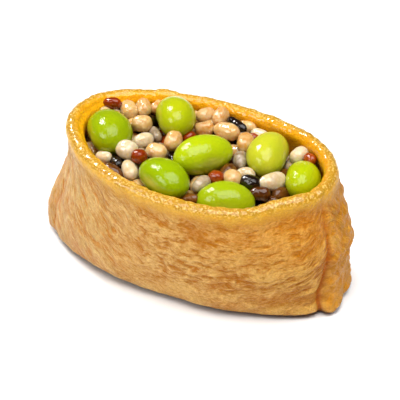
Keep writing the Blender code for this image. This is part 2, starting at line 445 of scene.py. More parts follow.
wrinkles -= wrinkles.mean()
paleness = roughly + 0.30 * crumb
print("wrinkles from %.2f to %.2f mm" % (wrinkles.min(), wrinkles.max()))

# %% [markdown]
# The seams have their own relief: a sharp crease inside the wide one, and a column that is puffed
# up in uneven lumps. Under the lip a smooth band of skin has no wrinkles at all, and its lower edge
# stands a little proud. The top of the lip is rough with granules of about a millimetre, whose many
# small slopes catch the light one by one. They are real relief, so they also glint in a model that
# keeps only its mesh.

# %% Creases, lumps and the smooth band
BAND_TOP = 2.0
BAND_BOTTOM = mix(5.0, 6.5, long_share)
SPARKLE_EDGE = (1.0, 2.6)
SOFT_SEAM = 0.45
SHARP_CREASE_DEPTH = 1.3
SHARP_CREASE_HALF_WIDTH = math.radians(1.6)
CREASE_WANDER = math.radians(1.3)
share_of_rim = np.clip(height / rim_height(column_angle)[None, :], 0.0, 1.0)
half = mix(*SEAM_HALF_ANGLE, smooth_step(share_of_rim))
down_the_crease = np.stack([height, np.zeros_like(height), np.full_like(height, 3.0)], -1)
off_end = off_the_end(column_angle)[None, :]
off_crease = np.abs(off_end - half + CREASE_WANDER * noise_at(down_the_crease, 5.0))
seam_strength = np.where((np.cos(column_angle) > 0)[None, :], 1.0, SOFT_SEAM)
near_table = 1.0 - 0.6 * smooth_step(share_of_rim, 0.45, 0.85)
crease_shape = bell(off_crease, SHARP_CREASE_HALF_WIDTH)
sharp_crease = SHARP_CREASE_DEPTH * seam_strength * near_table * crease_shape
column = seam_strength * smooth_step(half - off_end, 0.0, math.radians(6))
lumps = 0.7 * noise_at(skin + 80.0, 4.2) + 1.3 * np.abs(noise_at(skin * (1, 1, 1.3) + 90.0, 2.7)) - 0.3

from_lip_top = np.where(
    is_lip,
    LIP / 2 * (np.pi / 2 - np.arctan2(rise, offset)),
    LIP / 2 * np.pi / 2 + (LIP_SHARE - share) * RIM_HEIGHT,
)
below_band = smooth_step(from_lip_top + 1.0 * noise_at(skin, 3.0), BAND_TOP, BAND_BOTTOM)
near_top = 1.0 - smooth_step(from_lip_top + 0.6 * noise_at(skin + 5.0, 2.0), *SPARKLE_EDGE)
sparkly = np.where(is_outside | is_lip, near_top, 0.0)
wrinkled = np.where(is_outside | is_lip, below_band * smooth_step(share, 0.0, 0.05), 0.0)
print("the smooth band covers %.0f%% of the points" % (100 * (below_band < 0.5).mean()))

# %% Push the relief out along the skin
LIP_WAVE = 0.16
SMOOTH_GRAIN = 0.07
GRANULE_HEIGHT = 0.12
PADDING = 1.1
PADDED_LEVEL = 0.88
relief = wrinkled * (wrinkles + 0.75 * column * lumps - 0.4 * sharp_crease)
unwrinkled = np.where(is_lip | (is_outside & (wrinkled < 1.0)), 1.0 - wrinkled, 0.0)
granules = SMOOTH_GRAIN + GRANULE_HEIGHT * sparkly
relief += unwrinkled * (LIP_WAVE * noise_at(skin, 4.0) + granules * noise_at(skin, 1.15))
padded = PADDING * bell(round_from(180.0), 40.0) * bell(share - PADDED_LEVEL, 0.09)
relief += np.where(is_inside, padded + 0.12 * noise_at(skin, 4.0), 0.0)

across_rows = np.gradient(skin, axis=0)
round_columns = (np.roll(skin, -1, axis=1) - np.roll(skin, 1, axis=1)) / 2
outward = np.cross(round_columns, across_rows)
outward /= np.linalg.norm(outward, axis=-1, keepdims=True) + 1e-9
skin = skin + outward * relief[..., None]
skin[..., 2] = np.maximum(skin[..., 2], 0.0)
print("relief from %.2f to %.2f mm" % (relief.min(), relief.max()))

# %% [markdown]
# Now the grid itself is added, and each of its points goes to the place worked out for its row and
# column. The last column meets the first, so merging closes the skin. The materials need to know
# where the ridges, creases and other places are, so those go with the mesh, as a number for each
# point.


# %% Roll the grid up and close it
def roll_up(name, points):
    """A piece from rows of points that go round, and the row and column of each of its points."""
    rows_up, columns_round = points.shape[:2]
    start_clean()
    bpy.ops.mesh.primitive_grid_add(x_subdivisions=columns_round, y_subdivisions=rows_up - 1, size=1.0)
    piece = bpy.context.object
    piece.name = name
    flat = read_points(piece) * MM + 0.5
    column_of = np.rint(flat[:, 0] * columns_round).astype(int) % columns_round
    row_of = np.rint(flat[:, 1] * (rows_up - 1)).astype(int)
    write_points(piece, points[row_of, column_of])
    return piece, row_of, column_of


pouch, row_of, column_of = roll_up("tofu_pouch_skin", skin)
over_the_lip = np.where(is_lip, smooth_step(-from_lip_top, 0.0, 1.5), 0.0)
masks = {
    "ridge": spread(paleness, 6, 97) * wrinkled * mix(1.0, 0.72, long_share),
    "wrinkled": wrinkled,
    "band": np.where(is_outside | is_lip, 1.0 - wrinkled, 0.0),
    "crease": np.clip(sharp_crease * wrinkled, 0.0, 1.0),
    "column": column * wrinkled,
    "inside": np.where(is_inside | is_floor, 1.0, over_the_lip),
    "sparkly": sparkly,
    "long": long_share,
    "cracked": high_up * wrinkled * (1.0 - long_share),
    # painted shade: the lowest two millimetres of the outside, darkened where the pouch curves under
    "painted_foot_shade": np.where(is_outside, 1.0 - smooth_step(height, 0.5, 2.0), 0.0),
    "high": smooth_step(height, 10.0, 26.0) * smooth_step(along, 30.0, 70.0),
    "low": (1.0 - smooth_step(height, 3.0, 13.0)) * smooth_step(along, 20.0, 60.0),
    "along": along / HALF_ROUND,
    "across_ridges": across_ridges,
    "along_ridges": along_ridges,
}
for name, values in masks.items():
    write_mask(pouch, name, np.broadcast_to(values, height.shape)[row_of, column_of])
merge_and_turn_out(pouch)
print("the skin has %d faces and %d masks" % (len(pouch.data.polygons), len(masks)))

# %% [markdown]
# ## The soybeans
# A shelled green soybean is a full oval, bent a little to one side, with a scar on the inner side
# of the bend. Each starts as a round ball with its poles at the two tips and is then shaped: its
# three sides, the bend, the dimple of the scar, and soft hollows where the skin has sunk. The packed
# solids say where each bean lies and how it is turned.

# %% Model the beans
# the middle, then length, width and thickness, then heading, pitch and roll in degrees
BEANS = (
    ((-20.0, -1.1, 28.8), (13.7, 9.8, 9.0), (-48, 4, 0)),
    ((-8.6, 8.9, 29.9), (13.4, 8.8, 8.6), (-55, 9, 0)),
    ((2.8, -0.7, 28.5), (13.6, 9.4, 8.4), (48, -1, -6)),
    ((-1.7, -11.2, 27.9), (13.2, 8.8, 8.0), (-26, 3, -12)),
    ((15.5, 5.8, 28.2), (13.4, 9.0, 8.6), (97, -2, 0)),
    ((12.1, -10.4, 25.4), (12.4, 9.0, 8.4), (17, 0, -10)),
    ((24.3, 1.6, 26.8), (12.0, 7.8, 7.6), (-74, 13, 0)),
)
BEAN_BEND = 0.10
BEAN_NOTCH = 0.07
NOTCH_LENGTH = 0.28
NOTCH_WIDTH = 0.45
SUNK_DEEP = 0.10
SUNK_FINE = 0.035


def turn_matrix(heading, pitch, roll):
    """The matrix that turns a piece lying along X, from angles in degrees."""
    turn = Euler((math.radians(roll), -math.radians(pitch), math.radians(heading)), "XYZ")
    return np.array(turn.to_matrix())


def new_ball(name, segments, rings):
    """A ball of radius 1 to be shaped, and its points turned so that its poles are on X."""
    start_clean()
    bpy.ops.mesh.primitive_uv_sphere_add(segments=segments, ring_count=rings, radius=1.0)
    ball = bpy.context.object
    ball.name = name
    x, y, z = (read_points(ball) * MM).T
    return ball, np.stack([z, y, -x], -1)


def shape_bean(number, place, sides, turns):
    """Bends, notches and dents a ball into one of the beans."""
    bean, points = new_ball("soybean_%d" % number, segments=64, rings=40)
    x, y, z = points.T
    notch = BEAN_NOTCH * bell(x, NOTCH_LENGTH) * bell(z, NOTCH_WIDTH) * np.maximum(0.0, -y)
    points = np.stack([x, y + notch + BEAN_BEND * (1.0 - x * x), z], -1) * np.array(sides) / 2
    away = points / np.linalg.norm(points, axis=-1, keepdims=True)
    sunk = SUNK_DEEP * noise_at(points + 31.0 * number, 5.0)
    sunk = sunk + SUNK_FINE * noise_at(points + 17.0 * number, 1.6)
    points = points + away * sunk[:, None]
    write_points(bean, points @ turn_matrix(*turns).T + np.array(place))
    write_mask(bean, "tint", np.full(len(points), number / len(BEANS)))
    write_mask(bean, "scar", bell(x, 0.36) * bell(z, 0.2) * smooth_step(-y, 0.5, 0.9))
    merge_and_turn_out(bean)
    return bean


beans = [shape_bean(number, *bean) for number, bean in enumerate(BEANS, 1)]
print("%d beans of %d faces" % (len(beans), len(beans[0].data.polygons)))

# %% [markdown]
# ## The bed of the rice
# The filling is many grains deep, but only the top layers can be seen. Below them a solid bed fills
# the pouch. Its top lies some millimetres under the heap and is lumpy at the size of a
# grain, so wherever one looks between two grains there is rice, not a hole.

# %% Make the bed
GAP = 0.3
BED_DEPTH = 4.4
BED_COLUMNS = 96
BED_EDGE_LEVEL = 0.76
BED_SIDE_LEVELS = (*DEEP_LEVELS[::-1], 0.72, BED_EDGE_LEVEL)
BED_LUMP = 0.9


def heap_height(x, y):
    """The mean height of the heap before the beans press into it."""
    return 28.2 - 0.025 * x + 0.05 * y


bed_rows = [("under", pull) for pull in (0.0, 0.5, 1.0)]
bed_rows += [("side", level) for level in BED_SIDE_LEVELS]
bed_rows += [("top", pull) for pull in np.linspace(1.0, 0.0, 24)]
bed_angle = np.linspace(0.0, 2 * math.pi, BED_COLUMNS, endpoint=False)
bed_points = []
for kind, value in bed_rows:
    if kind == "side":
        ring = wall_points(bed_angle, value, -WALL / 2 - GAP)
    elif kind == "under":
        ring = wall_points(bed_angle, FOOT_LEVEL, -WALL / 2 - GAP - FOOT_INSET)
        ring[:, :2] *= value
        ring[:, 2] = FLOOR + GAP
    else:
        ring = wall_points(bed_angle, BED_EDGE_LEVEL, -WALL / 2 - GAP)
        ring[:, :2] *= value
        bumps = BED_LUMP * noise_at(ring * (1, 1, 0), 2.6)
        ring[:, 2] = heap_height(ring[:, 0], ring[:, 1]) - BED_DEPTH + bumps
    bed_points.append(ring)
bed = roll_up("rice_bed", np.array(bed_points))[0]
merge_and_turn_out(bed)
print("the bed has %d faces" % len(bed.data.polygons))

# %% [markdown]
# ## Where the grains lie
# The grains on top are laid one by one, as on a plate: each has a kind, a place on the plan, how far
# it stands above the heap, the direction of its long side, its length and its width. Everything
# under them is scattered. Then all of them are settled: wherever two grains, a grain and a bean, or
# a grain and the wall overlap, they are pushed apart a little, over and over, while the scattered
# ones drift up into the hollows that are left.

# %% Grains laid one by one
# kind, x, y, lift above the heap, heading in degrees, length, width
TOP_GRAINS = (
    ("red", -24.4, 8.4, 1.2, 7, 4.6, 2.6),
    ("tan", -25.9, 6.8, 0.0, 24, 4.2, 2.8),
    ("pale", -22.9, 8.2, -0.1, 102, 4.6, 2.9),
    ("tan", -20.0, 8.8, 0.6, -47, 5.6, 3.9),
    ("tan", -16.9, 10.6, 0.6, -54, 5.2, 3.8),
    ("tan", -15.2, 13.4, 0.2, 79, 4.4, 3.0),
    ("tan", -14.4, 4.6, 1.0, 7, 4.8, 4.2),
    ("tan", -17.6, 5.4, -0.8, 95, 4.6, 3.2),
    ("pale", -13.7, -5.2, 1.0, 7, 5.2, 4.1),
    ("pale", -12.0, 0.0, 0.2, 62, 5.0, 3.7),
    ("clear", -11.0, 4.0, -0.2, -47, 4.8, 2.7),
    ("tan", -7.6, -2.7, 0.4, -1, 4.8, 3.5),
    ("tan", -5.8, 2.4, 0.8, 95, 5.0, 4.0),
    ("red", -9.9, -6.5, 1.2, 24, 3.5, 3.3),
    ("pale", -10.3, -9.7, -0.4, -47, 5.6, 3.3),
    ("black", -14.9, -7.7, -0.8, -40, 4.9, 2.4),
    ("pale", -17.5, -6.9, -0.6, -8, 4.2, 2.6),
    ("black", -4.4, -1.3, -1.4, -60, 5.2, 2.2),
    ("red", -3.7, 5.8, 0.2, 49, 3.4, 2.6),
    ("clear", 6.2, -8.3, 0.0, 74, 5.2, 3.0),
    ("red", 8.0, -5.8, 0.2, -8, 3.9, 3.3),
    ("brown", 5.2, -12.6, -0.6, 7, 4.6, 2.6),
    ("tan", -3.2, 13.9, 0.4, 62, 4.9, 3.5),
    ("tan", 0.2, 14.6, 0.5, 88, 5.0, 3.6),
    ("tan", -5.4, 13.6, -0.2, -54, 4.6, 2.9),
    ("tan", -1.2, 12.6, -0.5, 41, 4.4, 3.1),
    ("tan", -1.5, 9.9, 0.2, 24, 4.5, 3.5),
    ("tan", 3.7, 9.8, 0.8, -18, 6.8, 3.9),
    ("black", 5.1, 12.6, 1.2, -26, 6.0, 2.4),
    ("tan", 7.2, 14.4, 0.1, -8, 4.8, 3.1),
    ("pale", 6.6, 11.6, -0.2, -40, 4.8, 2.8),
    ("tan", 9.3, 7.7, 0.6, 102, 5.2, 3.8),
    ("pale", 10.2, 12.4, 0.0, -20, 4.6, 3.1),
    ("red", 10.0, 10.2, 0.5, -20, 3.0, 2.2),
    ("clear", 10.0, 3.2, -0.6, 108, 5.8, 3.3),
    ("tan", 11.5, -5.5, 0.6, -40, 4.6, 3.6),
    ("pale", 12.9, -1.3, -0.2, 7, 4.4, 3.0),
    ("black", 15.3, -4.9, 0.6, -8, 4.9, 3.6),
    ("pale", 19.8, -2.5, 0.6, 56, 6.6, 3.8),
    ("brown", 17.7, -6.8, -0.4, 16, 4.8, 2.9),
    ("brown", 22.2, -3.4, -0.8, 56, 4.6, 2.8),
    ("brown", 20.5, -5.4, -0.9, -8, 3.6, 2.4),
    ("pale", 21.6, 8.4, 0.2, 68, 4.8, 3.4),
    ("red", 25.2, 6.6, 0.8, -36, 3.4, 2.5),
    ("clear", 20.6, 6.9, -0.6, 95, 4.8, 2.9),
    ("brown", 20.3, 3.6, -0.9, 102, 4.6, 2.6),
    ("tan", 7.4, 7.0, -1.0, -31, 4.4, 2.8),
    ("clear", -7.2, 0.8, -1.2, -31, 4.4, 2.8),
)
TOP_DEPTH = 0.8

# %% Scatter the grains below
KIND_SHARES = {"tan": 0.36, "pale": 0.16, "clear": 0.12, "brown": 0.22, "red": 0.08, "black": 0.06}
SCATTER_DEPTHS = (2.9, 5.0)
SCATTER_SPACING = 3.9
SCATTER_JITTER = 1.2
EDGE_MARGIN = 1.4
RIM_REACH = (28.9, 30.3)
RIM_HALF_WIDTH = 17.6
RIM_ROUNDNESS = 2.1
rng = np.random.default_rng(7)


def inside_oval(x, y, margin):
    """How far out a place is: below 1 it is inside the rim, less this margin."""
    across = y / (RIM_HALF_WIDTH - LIP / 2 - margin)
    shifted = x - MIDDLE_X + SKEW[1] * across
    reach = np.where(shifted > 0, *RIM_REACH) - LIP / 2 - margin
    return np.abs(shifted / reach) ** RIM_ROUNDNESS + np.abs(across) ** RIM_ROUNDNESS


scattered = []
for below in SCATTER_DEPTHS:
    for grid_x in np.arange(-31.0, 33.0, SCATTER_SPACING):
        for grid_y in np.arange(-17.0, 18.0, SCATTER_SPACING):
            x, y = np.array((grid_x, grid_y)) + rng.uniform(-SCATTER_JITTER, SCATTER_JITTER, 2)
            if inside_oval(x, y, EDGE_MARGIN) < 1.0:
                kind = rng.choice(list(KIND_SHARES), p=list(KIND_SHARES.values()))
                length = rng.uniform(4.4, 5.6)
                width = rng.uniform(2.9, 3.7)
                heading = rng.uniform(0, 180)
                scattered.append((kind, x, y, TOP_DEPTH - below, heading, length, width))
grains = list(TOP_GRAINS) + scattered
count = len(grains)
by_hand = np.arange(count) < len(TOP_GRAINS)
print("%d grains by hand and %d scattered" % (by_hand.sum(), count - by_hand.sum()))

# %% [markdown]
# For settling, a grain is three balls in a row, which is quick to compare with every other grain.
# A bean stays the oval it is, and only the grains move. A grain laid one by one on top is also pulled
# back to its own place, so that it stays about where it was put.

# %% Settle the heap
STEPS = 90
GRAIN_PUSH = 0.28
BEAN_PUSH = 0.7
WALL_PUSH = 4.0
LARGEST_WALL_PUSH = 0.8
PULL_BACK = 0.25
GIVE_BY_HAND = 0.35
GIVE_LOOSE = 0.8
DRIFT_UP = 0.03
COVER = 0.9
values = np.array([grain[1:] for grain in grains], float)
headings, length, width = values[:, 3:].T
target = values[:, :3].copy()
target[:, 2] += heap_height(values[:, 0], values[:, 1]) - TOP_DEPTH
pitch = rng.uniform(-14, 14, count)
roll = rng.uniform(0, 360, count)
thickness = width * rng.uniform(0.86, 0.98, count)
axes = np.array([turn_matrix(h, p, 0)[:, 0] for h, p in zip(headings, pitch)])
radius = (width + thickness) / 4 * 0.96
reach = (length / 2 - radius)[:, None] * axes
owner = np.tile(np.arange(count), 3)
ball_radius = radius[owner]


def push_from_grains(balls):
    apart = balls[:, None, :] - balls[None, :, :]
    distance = np.linalg.norm(apart, axis=-1) + 1e-6
    overlap = np.maximum(0.0, ball_radius[:, None] + ball_radius[None, :] - distance)
    overlap[owner[:, None] == owner[None, :]] = 0.0
    return (apart / distance[..., None] * overlap[..., None]).sum(1) * GRAIN_PUSH


def push_from_bean(balls, middle, sides, turns):
    turn = turn_matrix(*turns)
    local = (balls - np.array(middle)) @ turn
    half_sides = np.array(sides) / 2
    depth = np.linalg.norm(local / (half_sides + ball_radius[:, None]), axis=-1)
    out = local / half_sides**2
    out /= np.linalg.norm(out, axis=-1, keepdims=True) + 1e-9
    deep = np.maximum(0.0, 1.0 - depth) * (half_sides.mean() + ball_radius)
    return (out * deep[:, None]) @ turn.T * BEAN_PUSH


def push_from_wall(balls):
    too_far = np.maximum(0.0, inside_oval(balls[:, 0], balls[:, 1], ball_radius) - 1.0)[:, None]
    return np.clip(too_far * WALL_PUSH, 0.0, LARGEST_WALL_PUSH) * balls[:, :2] / 15.0


place = target.copy()
loose = ~by_hand
for step in range(STEPS):
    balls = np.concatenate([place - reach, place, place + reach])
    push = push_from_grains(balls)
    for bean in BEANS:
        push += push_from_bean(balls, *bean)
    push[:, :2] -= push_from_wall(balls)
    move = np.zeros_like(place)
    np.add.at(move, owner, push)
    pull = PULL_BACK * (target - place)
    place = place + np.where(by_hand[:, None], GIVE_BY_HAND * move + pull, GIVE_LOOSE * move)
    ceiling = heap_height(place[:, 0], place[:, 1]) - TOP_DEPTH - COVER
    place[loose, 2] = np.minimum(place[loose, 2] + DRIFT_UP, ceiling[loose])
lowest = heap_height(place[:, 0], place[:, 1]) - BED_DEPTH - 0.4 * radius
place[:, 2] = np.maximum(place[:, 2], lowest)
moved = np.linalg.norm((place - target)[by_hand], axis=1)
print("grains laid by hand moved %.2f mm on average, %.2f at most" % (moved.mean(), moved.max()))

# %% [markdown]
# ## Modelling a grain
# A cooked grain is an egg, a bit fuller at one end, slightly bent, with a shallow groove along one
# side where its germ lay, and a soft uneven skin. It is modelled once from a ball for the grains on
# top and once, coarser, for the many half-hidden ones below. Each copy has its own mesh with its own
# size, bend and unevenness, and the copies of a kind are joined, so that a kind of grain is one
# piece.


# %% Shape one grain
GROOVE = 0.10
FULLER_END = 0.06
GRAIN_BEND = 0.15
UNEVEN_SOFT = 0.14
UNEVEN_FINE = 0.07
PLUMP = 1.05


def grain_points(ball, index):
    """The points of one grain in its settled place, from those of a ball."""
    x, y, z = ball.T
    plumper = np.sqrt((1.0 - np.abs(x) ** 2.8 + 1e-6) / (1.0 - x * x + 1e-6))
    fuller = plumper * (1.0 + FULLER_END * x)
    groove = GROOVE * bell(z, 0.22) * bell(x, 0.8) * smooth_step(y, 0.4, 1.0)
    points = np.stack([x, (y - groove) * fuller, z * fuller], -1)
    points *= np.array([length[index], width[index] * PLUMP, thickness[index] * PLUMP]) / 2
    points[:, 1] += (GRAIN_BEND + GRAIN_BEND * math.sin(index)) * (1.0 - x * x)
    away = points / (np.linalg.norm(points, axis=-1, keepdims=True) + 1e-9)
    uneven = UNEVEN_SOFT * noise_at(points + index * 3.7, 2.2)
    uneven = uneven + UNEVEN_FINE * noise_at(points + index * 5.1, 0.9)
    points = points + away * uneven[:, None]
    return points @ turn_matrix(headings[index], pitch[index], roll[index]).T + place[index]


# %% Copy the model grains into place
GOLDEN_SHARE = 0.618034
models = {True: new_ball("top_grain", 24, 16), False: new_ball("lower_grain", 10, 6)}
pieces = {}
for kind in KIND_SHARES:
    copies = []
    for index, grain in enumerate(grains):
        if grain[0] != kind:
            continue
        model, ball = models[bool(by_hand[index])]
        copy = bpy.data.objects.new("grain", model.data.copy())
        bpy.context.scene.collection.objects.link(copy)
        write_points(copy, grain_points(ball, index))
        write_mask(copy, "tint", np.full(len(ball), (index * GOLDEN_SHARE) % 1.0))
        copies.append(copy)
    start_clean()
    for copy in copies:
        copy.select_set(True)
    bpy.context.view_layer.objects.active = copies[0]
    bpy.ops.object.join()
    pieces[kind] = bpy.context.object
    pieces[kind].name = kind + "_grains"
    merge_and_turn_out(pieces[kind])
    print("%d %s grains, %d faces" % (len(copies), kind, len(pieces[kind].data.polygons)))
for model, ball in models.values():
    bpy.data.objects.remove(model)

# %% [markdown]
# ## Finishes
# All the food is wet, so one effect is shared: a thin film whose ripples break highlights up into
# crinkles. It is a node group that gives a normal and a roughness. A second shared group mottles
# one colour with another. Each material sets its own scale and strength. Patterns are read from the
# object's own coordinates in metres, so a scale of 1000 repeats about every millimetre.


# %% Helpers for nodes
def feed(tree, socket, value):
    """Gives an input a value, or links it to the output of another node."""
    if isinstance(value, bpy.types.NodeSocket):
        tree.links.new(value, socket)
    elif socket.type == "RGBA":
        socket.default_value = (*value, 1.0)
    else:
        socket.default_value = value


def add_node(tree, kind, inputs, **settings):
    """A new node with its settings and inputs."""
    made = tree.nodes.new(kind)
    for name, value in settings.items():
        setattr(made, name, value)
    for name, value in inputs.items():
        feed(tree, made.inputs[name], value)
    return made


def calculate(tree, operation, *values):
    """The result of a maths node."""
    node = add_node(tree, "ShaderNodeMath", dict(enumerate(values)), operation=operation)
    return node.outputs["Value"]


def stretch(tree, value, low, high, to_low=0.0, to_high=1.0):
    """Turns the range from low to high into the range from to_low to to_high."""
    return add_node(tree, "ShaderNodeMapRange", {
        "Value": value, "From Min": low, "From Max": high, "To Min": to_low, "To Max": to_high,
    }).outputs["Result"]


def mix_colours(tree, amount, first, second):
    """The result of a mix node for two colours, whose inputs share their names."""
    node = add_node(tree, "ShaderNodeMix", {0: amount, 6: first, 7: second}, data_type="RGBA")
    return node.outputs[2]


def attribute(tree, name):
    """A mask that was stored with the points."""
    return add_node(tree, "ShaderNodeAttribute", {}, attribute_name=name).outputs["Fac"]


def own_place(tree):
    """The place on the object, in metres."""
    return add_node(tree, "ShaderNodeTexCoord", {}).outputs["Object"]


def noise_pattern(tree, place, scale, detail, roughness=0.5):
    return add_node(tree, "ShaderNodeTexNoise", {
        "Vector": place, "Scale": scale, "Detail": detail, "Roughness": roughness,
    }).outputs["Fac"]


# %% Helpers for colours, materials and groups
LIT_SHARE = 0.76


def linear(red, green, blue, share=1.0):
    """A colour as a screen shows it, 0 to 255, in the even steps of light that a shader wants."""
    return tuple(share * (c / 12.92 if c <= 0.04045 else ((c + 0.055) / 1.055) ** 2.4)
                 for c in (red / 255, green / 255, blue / 255))


def lit(red, green, blue):
    """The base colour of food that shows this colour under the bright light of the table."""
    return linear(red, green, blue, LIT_SHARE)


def new_group(name, inputs, outputs):
    """A node group with named sockets: name, type and default of each input."""
    tree = bpy.data.node_groups.new(name, "ShaderNodeTree")
    for socket, kind, default in inputs:
        made = tree.interface.new_socket(socket, in_out="INPUT", socket_type=kind)
        made.default_value = default
    for socket, kind in outputs:
        tree.interface.new_socket(socket, in_out="OUTPUT", socket_type=kind)
    return tree, tree.nodes.new("NodeGroupInput").outputs, tree.nodes.new("NodeGroupOutput").inputs


def place_group(tree, group, **inputs):
    return add_node(tree, "ShaderNodeGroup", inputs, node_tree=group).outputs


def new_material(name, **constants):
    """A material with its constants set on the shader's own sockets, its nodes and those sockets."""
    material = bpy.data.materials.new(name)
    material.use_nodes = True
    sockets = material.node_tree.nodes["Principled BSDF"].inputs
    for socket, value in constants.items():
        sockets[socket.replace("_", " ")].default_value = value
    return material, material.node_tree, sockets


def dress(piece, material):
    """Gives a piece its finish."""
    piece.data.materials.clear()
    piece.data.materials.append(material)


# %% The wet film
RIPPLE_DEPTH = 0.0008
DRY_PATCH_SCALE = 420.0


def make_wet_film():
    """Fine ripples, and patches that are wetter or drier."""
    tree, given, result = new_group(
        "wet film",
        (
            ("Scale", "NodeSocketFloat", 1500.0),
            ("Depth", "NodeSocketFloat", 0.05),
            ("Smoothest", "NodeSocketFloat", 0.12),
            ("Roughest", "NodeSocketFloat", 0.40),
        ),
        (("Normal", "NodeSocketVector"), ("Roughness", "NodeSocketFloat")),
    )
    ripple = noise_pattern(tree, own_place(tree), given["Scale"], detail=1.0)
    bump = add_node(tree, "ShaderNodeBump", {
        "Height": ripple, "Strength": given["Depth"], "Distance": RIPPLE_DEPTH,
    })
    patches = noise_pattern(tree, own_place(tree), DRY_PATCH_SCALE, detail=2.0)
    rough = stretch(tree, patches, 0.35, 0.65, given["Smoothest"], given["Roughest"])
    feed(tree, result["Normal"], bump.outputs["Normal"])
    feed(tree, result["Roughness"], rough)
    return tree


film = make_wet_film()
print("the film has ripples up to %.1f mm deep" % (RIPPLE_DEPTH / MM))


# %% The mottle
def make_mottle():
    """Soft spots of another colour."""
    tree, given, result = new_group(
        "mottle",
        (
            ("Colour", "NodeSocketColor", (1.0, 1.0, 1.0, 1.0)),
            ("Other", "NodeSocketColor", (0.5, 0.5, 0.5, 1.0)),
            ("Scale", "NodeSocketFloat", 500.0),
            ("Amount", "NodeSocketFloat", 0.5),
        ),
        (("Colour", "NodeSocketColor"),),
    )
    spots = noise_pattern(tree, own_place(tree), given["Scale"], detail=4.0, roughness=0.6)
    amount = calculate(tree, "MULTIPLY", stretch(tree, spots, 0.38, 0.62), given["Amount"])
    feed(tree, result["Colour"], mix_colours(tree, amount, given["Colour"], given["Other"]))
    return tree


mottle = make_mottle()

# %% [markdown]
# ## Fried tofu
# The skin is amber where it is thin or wet and pale where a ridge holds more crumb. What is finer
# than the modelled wrinkles follows the same ridges, so it is drawn in coordinates that were stored
# with them: fibres everywhere, thin pale streaks where the skin is pulled long, at the two ends, and
# short dark cracks between them. All three together are one height, which shades the colour and
# bumps the surface.

# %% Fibres, streaks and cracks of the tofu
tofu, tree, shader = new_material(
    "seasoned_fried_tofu", Subsurface_Weight=0.18, Subsurface_Scale=0.0008,
    Subsurface_Radius=(1.0, 0.45, 0.15), Coat_Roughness=0.10, Coat_IOR=1.6, Specular_IOR_Level=0.12,
)
ridge_place = add_node(tree, "ShaderNodeCombineXYZ", {
    "X": attribute(tree, "across_ridges"), "Y": attribute(tree, "along_ridges"),
}).outputs["Vector"]


def ridge_noise(across, along, detail, roughness):
    """Noise that is stretched along the ridges: repeats per millimetre across and along them."""
    stretched = add_node(tree, "ShaderNodeMapping", {
        "Vector": ridge_place, "Scale": (across, along, 1.0),
    })
    return noise_pattern(tree, stretched.outputs["Vector"], 1.0, detail, roughness)


def thin_lines(pattern, half_width, strength):
    """Lines where a noise passes its middle."""
    off_middle = calculate(tree, "ABSOLUTE", calculate(tree, "SUBTRACT", pattern, 0.5))
    return stretch(tree, off_middle, 0.0, half_width, strength, 0.0)


pulled_long = attribute(tree, "long")
column = attribute(tree, "column")
fibres = stretch(tree, ridge_noise(2.3, 1.0, 4.0, 0.65), 0.36, 0.64)
long_streaks = thin_lines(ridge_noise(0.90, 0.13, 2.0, 0.5), 0.042, 1.0)
short_streaks = thin_lines(ridge_noise(1.15, 0.28, 1.0, 0.5), 0.045, 0.5)
streaks = calculate(tree, "MAXIMUM", long_streaks, short_streaks)
streaks = calculate(tree, "MULTIPLY", streaks, pulled_long)
cracks = stretch(tree, ridge_noise(1.3, 0.36, 2.0, 0.6), 0.57, 0.66)
cracks = calculate(tree, "MULTIPLY", cracks, attribute(tree, "cracked"))
fibre_strength = calculate(tree, "MULTIPLY_ADD", pulled_long, -0.40, 0.64)
fibre_strength = calculate(tree, "MULTIPLY_ADD", column, -0.12, fibre_strength)
fine = calculate(tree, "MULTIPLY", calculate(tree, "SUBTRACT", fibres, 0.5), fibre_strength)
fine = calculate(tree, "MULTIPLY_ADD", streaks, 0.95, fine)
fine = calculate(tree, "MULTIPLY_ADD", cracks, -0.6, fine)
fine = calculate(tree, "MULTIPLY", fine, attribute(tree, "wrinkled"))
print("%d nodes draw the fine height of the skin" % len(tree.nodes))

# %% [markdown]
# The colour is built up in layers, each laid over the last where its mask says so: pale ridges over
# dark valleys, a warmer upper wall, the seam column, the creases, the smooth band with the granules
# on its top, whose pale specks are partly painted glints, and the yellower inside, brightened as
# painted light shining through the wall. Most layers are a little paler towards the left end, partly
# as painted light falling from the left. Two mottles make the whole uneven, and the foot is painted
# dark brown: painted shade where the pouch curves under towards the table.

# %% Colours of the tofu
to_the_right = attribute(tree, "along")
high = attribute(tree, "high")
sparkly = attribute(tree, "sparkly")
shade = calculate(tree, "MULTIPLY_ADD", attribute(tree, "low"), 0.35, fine)
paleness = add_node(
    tree, "ShaderNodeMath", {0: attribute(tree, "ridge"), 1: shade}, operation="ADD", use_clamp=True
).outputs["Value"]
# Each pair of colours runs from the left end to the right. The paler left end is partly painted light
# falling from the left.
valley = mix_colours(tree, to_the_right, linear(205, 126, 4), linear(182, 101, 0))
crest = mix_colours(tree, to_the_right, linear(248, 218, 150), linear(242, 182, 74))
smooth_skin = mix_colours(tree, to_the_right, linear(232, 184, 80), linear(222, 166, 40))
# The inside is yellower in its own right. Its colour is also brightened, most at the left end, as
# painted light shining through the thin wall.
inner_skin_with_painted_glow = mix_colours(tree, to_the_right, linear(250, 180, 14), linear(226, 154, 0))
